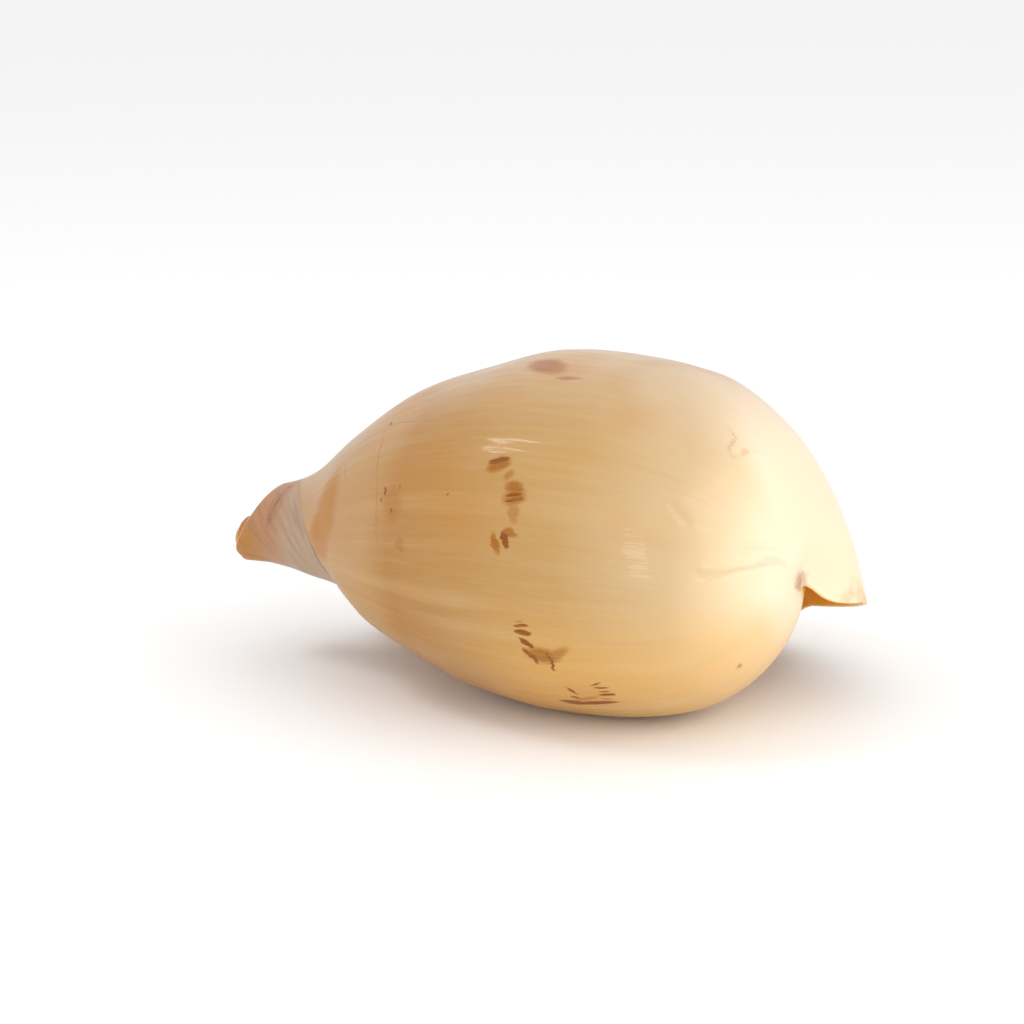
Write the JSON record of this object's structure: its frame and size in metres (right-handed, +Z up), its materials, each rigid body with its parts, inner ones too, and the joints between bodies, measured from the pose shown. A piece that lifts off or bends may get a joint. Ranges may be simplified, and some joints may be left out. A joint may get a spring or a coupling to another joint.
{
  "type": "melon sea shell",
  "caption": "Large swollen spiral sea shell lying on its wide mouth, with a low hood over the apex and a notched front end.",
  "frame": {"origin": "centre of the base of the bounding box, on the surface the shell lies on", "axes": "+X along the coiling axis toward the hooded apex end, +Y toward the outer lip's side, +Z up"},
  "size_m": [0.219, 0.139, 0.113],
  "materials": {
    "shell": "glossy cream to tan with orange shading and a broken band of brown marks"
  },
  "bodies": {
    "root": {"shell": "shell"}
  },
  "joints": []
}
